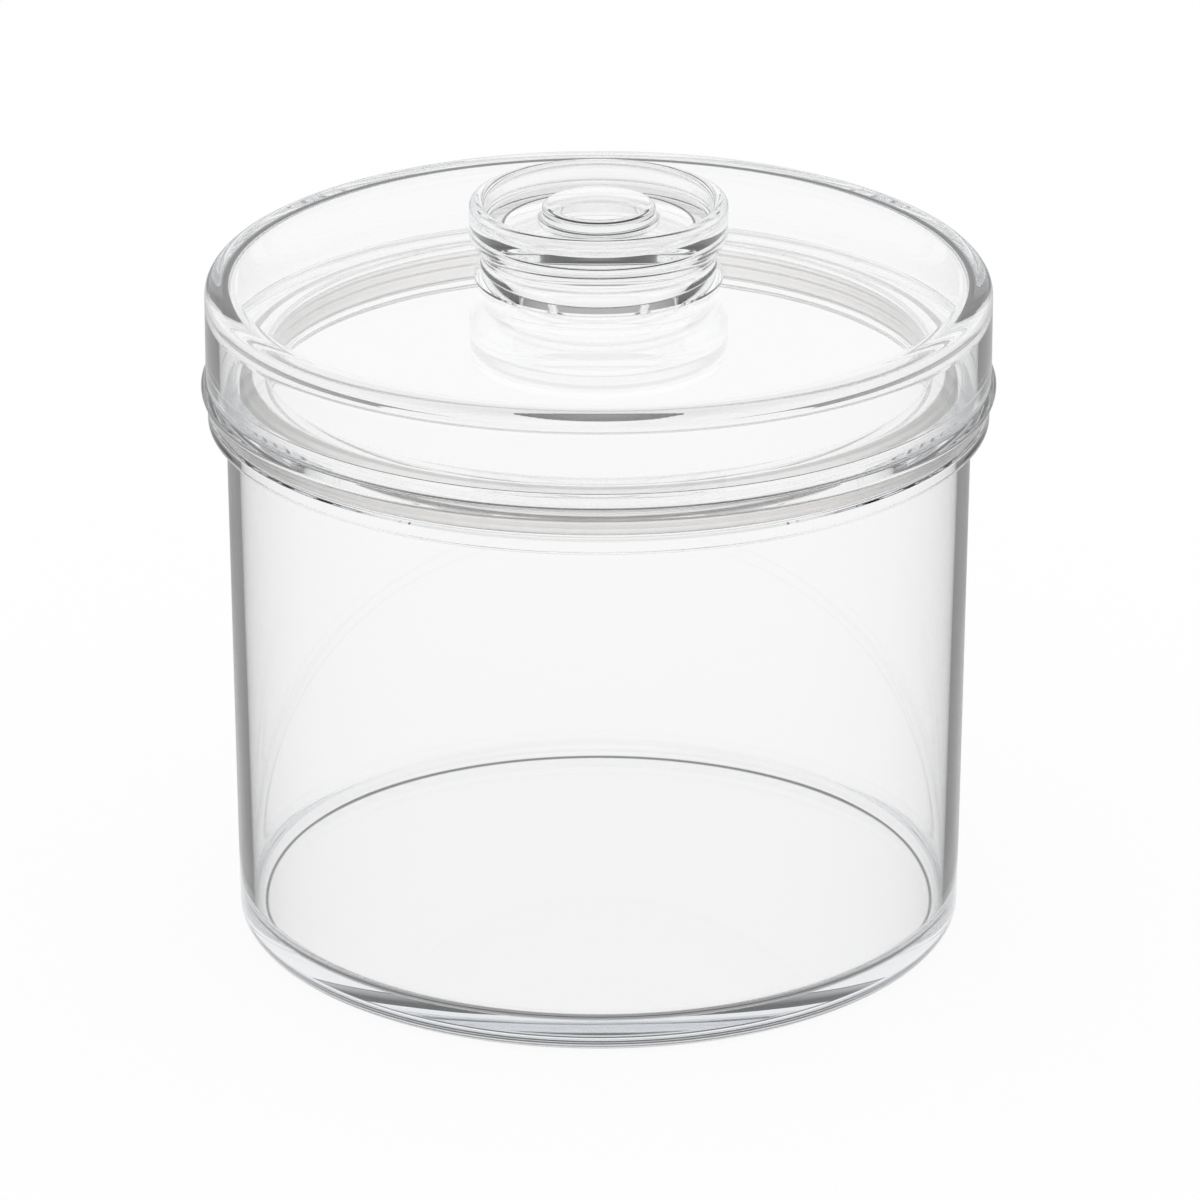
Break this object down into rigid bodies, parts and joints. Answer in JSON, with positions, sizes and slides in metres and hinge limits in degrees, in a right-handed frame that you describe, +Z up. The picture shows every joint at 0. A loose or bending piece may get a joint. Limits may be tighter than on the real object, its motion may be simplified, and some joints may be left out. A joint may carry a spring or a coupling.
{
  "type": "acrylic jar",
  "caption": "Clear round acrylic storage jar with a thickened rim and a lift-off hollow lid that carries a plug ring, a soft seal and a cupped finger knob.",
  "frame": {"origin": "centre of the jar's foot, on the surface that it stands on", "axes": "+Z up along the jar's axis, the way the lid lifts; the picture looks along +Y from above"},
  "size_m": [0.1214, 0.1214, 0.1169],
  "materials": {
    "clear_acrylic": "moulded clear acrylic, polished",
    "clear_silicone": "translucent moulded silicone, satin"
  },
  "bodies": {
    "jar": {"jar_body": "clear_acrylic"},
    "lid": {"lid_shell": "clear_acrylic", "plug_ring": "clear_acrylic", "seal_ring": "clear_silicone", "knob": "clear_acrylic"}
  },
  "joints": [
    {"name": "lid_lift", "type": "slide", "parent": "jar", "child": "lid", "axis": [0, 0, 1], "range_m": [0, 0.06]}
  ]
}
